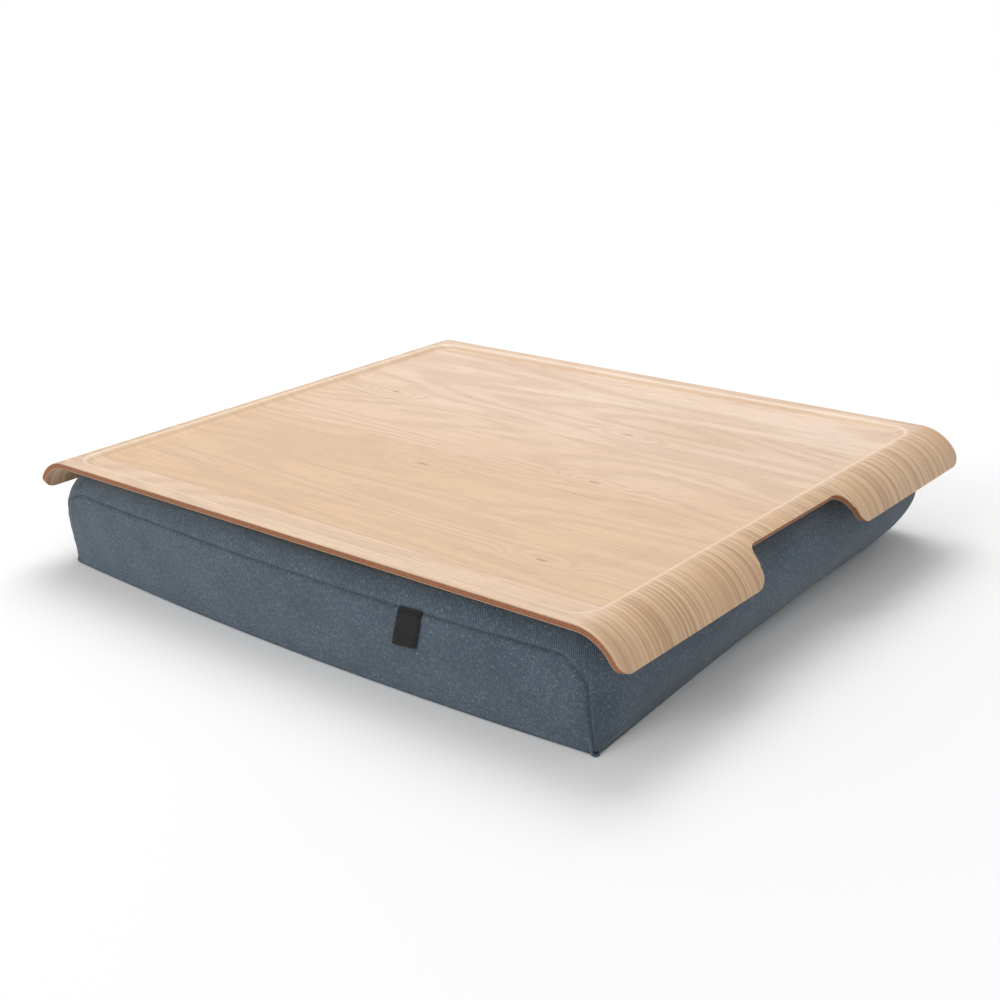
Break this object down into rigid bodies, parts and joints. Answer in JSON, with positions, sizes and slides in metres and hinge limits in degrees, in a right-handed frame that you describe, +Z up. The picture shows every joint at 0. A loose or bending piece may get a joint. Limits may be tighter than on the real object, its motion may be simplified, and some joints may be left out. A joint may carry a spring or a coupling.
{
  "type": "lap tray with cushion",
  "caption": "Moulded plywood lap tray with rolled ends, hand notches and a shallow recess, held on a bead-filled fabric cushion with a zip.",
  "frame": {"origin": "centre of the tray in plan, on the surface that the cushion stands on", "axes": "+X along the tray's long side, towards the right-hand rolled end; +Y from the labelled front to the back with the zip; +Z up"},
  "size_m": [0.46, 0.376, 0.07],
  "materials": {
    "face_wood": "satin lacquered pale veneer",
    "core_wood": "raw reddish ply edge",
    "back_wood": "satin lacquered pale veneer",
    "hook_tape": "dull hook tape",
    "loop_tape": "fuzzy loop tape",
    "cover_fabric": "blue-grey woven canvas",
    "liner_fabric": "thin off-white lining",
    "foam_beads": "expanded foam beads",
    "label_fabric": "bare black woven tape",
    "zip_tape": "woven zip tape",
    "zip_chain": "moulded coil",
    "zip_metal": "dark plated metal"
  },
  "bodies": {
    "cushion": {"loop_strip_left": "loop_tape", "loop_strip_middle": "loop_tape", "loop_strip_right": "loop_tape", "top_panel": "cover_fabric", "bottom_panel": "cover_fabric", "front_panel": "cover_fabric", "back_panel": "cover_fabric", "left_panel": "cover_fabric", "right_panel": "cover_fabric", "liner_bag": "liner_fabric", "bead_fill": "foam_beads", "blank_label": "label_fabric", "zip_tape_upper": "zip_tape", "zip_tape_lower": "zip_tape", "zip_chain_upper": "zip_chain", "zip_chain_lower": "zip_chain", "zip_stop_left": "zip_metal", "zip_stop_right": "zip_metal"},
    "tray": {"face_veneer": "face_wood", "upper_core_ply": "core_wood", "middle_core_ply": "core_wood", "lower_core_ply": "core_wood", "back_veneer": "back_wood", "hook_strip_left": "hook_tape", "hook_strip_middle": "hook_tape", "hook_strip_right": "hook_tape"},
    "slider": {"zip_slider": "zip_metal"},
    "pull": {"zip_pull": "zip_metal"}
  },
  "joints": [
    {"name": "tray_lift", "type": "slide", "parent": "cushion", "child": "tray", "axis": [0, 0, 1], "range_m": [0, 0.15]},
    {"name": "zip_run", "type": "slide", "parent": "cushion", "child": "slider", "axis": [-1, 0, 0], "range_m": [0, 0.2444]},
    {"name": "pull_swing", "type": "hinge", "parent": "slider", "child": "pull", "pos_m": [0.1222, 0.1842, 0.03], "axis": [0, 0, -1], "range_deg": [0, 180]}
  ]
}
